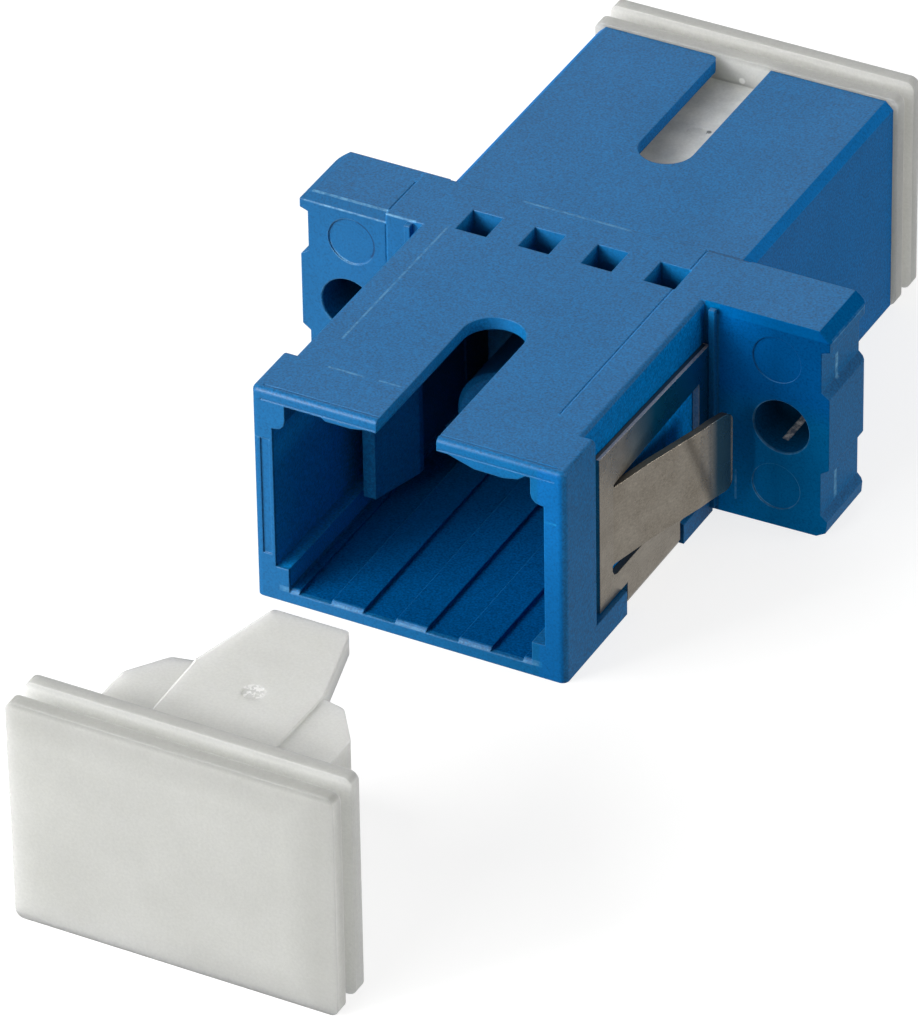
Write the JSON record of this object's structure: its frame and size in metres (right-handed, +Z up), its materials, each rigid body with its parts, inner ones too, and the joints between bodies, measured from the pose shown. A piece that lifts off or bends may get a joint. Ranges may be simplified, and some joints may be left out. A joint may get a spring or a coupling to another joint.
{
  "type": "fibre adapter",
  "caption": "Simplex SC fibre adapter with a panel flange, open keyed ports, a spring panel clip and pull-off dust caps.",
  "frame": {"origin": "on the optical axis, in the plane of the flange's front face, midway between the two screw holes", "axes": "+Y along the optical axis towards the rear port, +X along the flange, +Z up with the keyways in the top wall; the underside is at Z = -4.7 mm"},
  "size_m": [0.0224, 0.0512, 0.0095],
  "materials": {
    "blue_housing": "fine matte moulded",
    "blue_core": "fine matte moulded",
    "spring_steel": "rolled, fine grain",
    "white_ceramic": "ground smooth",
    "milky_cap": "milky, soft sheen"
  },
  "bodies": {
    "adapter": {"front_housing": "blue_housing", "rear_housing": "blue_housing", "front_latch_core": "blue_core", "rear_latch_core": "blue_core", "split_sleeve": "white_ceramic", "mounting_clip": "spring_steel"},
    "front_cap": {"front_dust_cap": "milky_cap"},
    "rear_cap": {"rear_dust_cap": "milky_cap"}
  },
  "joints": [
    {"name": "front_cap_slide", "type": "slide", "parent": "adapter", "child": "front_cap", "axis": [-0.0964, 0.9953, 0], "range_m": [0, 0.01939]},
    {"name": "rear_cap_slide", "type": "slide", "parent": "adapter", "child": "rear_cap", "axis": [0, 1, 0], "range_m": [0, 0.012]}
  ]
}
